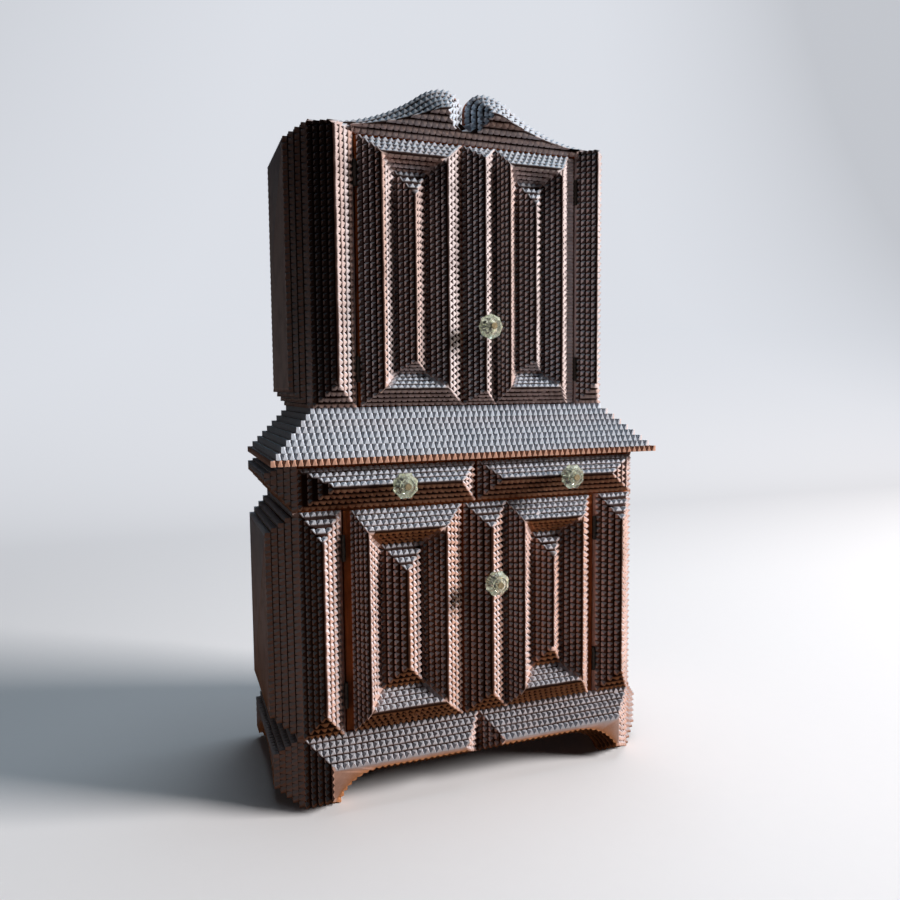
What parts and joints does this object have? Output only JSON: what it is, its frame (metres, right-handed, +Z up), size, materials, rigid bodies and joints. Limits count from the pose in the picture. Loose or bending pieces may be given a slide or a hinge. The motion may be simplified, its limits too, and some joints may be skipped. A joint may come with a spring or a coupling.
{
  "type": "table cabinet",
  "caption": "Miniature two-part cupboard covered in stepped, notch-edged wood strips, with hinged panelled doors, small drawers, a stepped shelf, a scrolled crest and glass knobs.",
  "frame": {"origin": "under the middle of the bounding box, on the surface that the feet stand on", "axes": "+Z up, -Y towards the doors, +X to the right as seen from the front"},
  "size_m": [0.4, 0.219, 0.68],
  "materials": {
    "carved_wood": "glossy dark brown varnish",
    "case_wood": "satin brown varnish",
    "bare_wood": "bare, unfinished",
    "knob_glass": "clear pressed glass with a faint yellow-green tint",
    "bolt_brass": "aged",
    "hinge_iron": "dull, dark"
  },
  "bodies": {
    "case": {"base_back_board": "case_wood", "base_front_board": "case_wood", "base_front_layers": "carved_wood", "base_left_board": "case_wood", "base_left_layers": "carved_wood", "base_right_board": "case_wood", "base_right_layers": "carved_wood", "case_hinge_leaves": "hinge_iron", "crest_board": "case_wood", "crest_layers": "carved_wood", "drawer_deck": "case_wood", "drawer_divider_and_rail": "case_wood", "hinge_pins": "hinge_iron", "lower_back_board": "case_wood", "lower_bottom_board": "case_wood", "lower_left_pilaster": "carved_wood", "lower_left_side": "case_wood", "lower_left_side_layers": "carved_wood", "lower_right_pilaster": "carved_wood", "lower_right_side": "case_wood", "lower_right_side_layers": "carved_wood", "shelf_boards": "case_wood", "shelf_edge_layers": "carved_wood", "upper_back_board": "case_wood", "upper_bottom_board": "case_wood", "upper_left_pilaster": "carved_wood", "upper_left_side": "case_wood", "upper_left_side_layers": "carved_wood", "upper_right_pilaster": "carved_wood", "upper_right_side": "case_wood", "upper_right_side_layers": "carved_wood", "upper_top_board": "case_wood"},
    "lower_left_door": {"lower_left_door_board": "case_wood", "lower_left_door_carving": "carved_wood", "lower_left_door_hinges": "hinge_iron"},
    "lower_right_door": {"lower_right_door_astragal": "carved_wood", "lower_right_door_board": "case_wood", "lower_right_door_carving": "carved_wood", "lower_right_door_hinges": "hinge_iron", "lower_right_door_knob": "knob_glass", "lower_right_door_knob_bolt": "bolt_brass"},
    "upper_left_door": {"upper_left_door_board": "case_wood", "upper_left_door_carving": "carved_wood", "upper_left_door_hinges": "hinge_iron"},
    "upper_right_door": {"upper_right_door_astragal": "carved_wood", "upper_right_door_board": "case_wood", "upper_right_door_carving": "carved_wood", "upper_right_door_hinges": "hinge_iron", "upper_right_door_knob": "knob_glass", "upper_right_door_knob_bolt": "bolt_brass"},
    "left_drawer": {"left_drawer_box": "bare_wood", "left_drawer_front": "case_wood", "left_drawer_front_layers": "carved_wood", "left_drawer_knob": "knob_glass", "left_drawer_knob_bolt": "bolt_brass"},
    "right_drawer": {"right_drawer_box": "bare_wood", "right_drawer_front": "case_wood", "right_drawer_front_layers": "carved_wood", "right_drawer_knob": "knob_glass", "right_drawer_knob_bolt": "bolt_brass"}
  },
  "joints": [
    {"name": "lower_left_door_hinge", "type": "hinge", "parent": "case", "child": "lower_left_door", "pos_m": [-0.134, -0.07025, 0.1735], "axis": [0, 0, -1], "range_deg": [0, 90]},
    {"name": "lower_right_door_hinge", "type": "hinge", "parent": "case", "child": "lower_right_door", "pos_m": [0.134, -0.07025, 0.1735], "axis": [0, 0, 1], "range_deg": [0, 90]},
    {"name": "upper_left_door_hinge", "type": "hinge", "parent": "case", "child": "upper_left_door", "pos_m": [-0.1104, -0.04325, 0.5022], "axis": [0, 0, -1], "range_deg": [0, 90]},
    {"name": "upper_right_door_hinge", "type": "hinge", "parent": "case", "child": "upper_right_door", "pos_m": [0.1252, -0.04325, 0.5022], "axis": [0, 0, 1], "range_deg": [0, 90]},
    {"name": "left_drawer_slide", "type": "slide", "parent": "case", "child": "left_drawer", "axis": [0, -1, 0], "range_m": [0, 0.125]},
    {"name": "right_drawer_slide", "type": "slide", "parent": "case", "child": "right_drawer", "axis": [0, -1, 0], "range_m": [0, 0.125]}
  ]
}
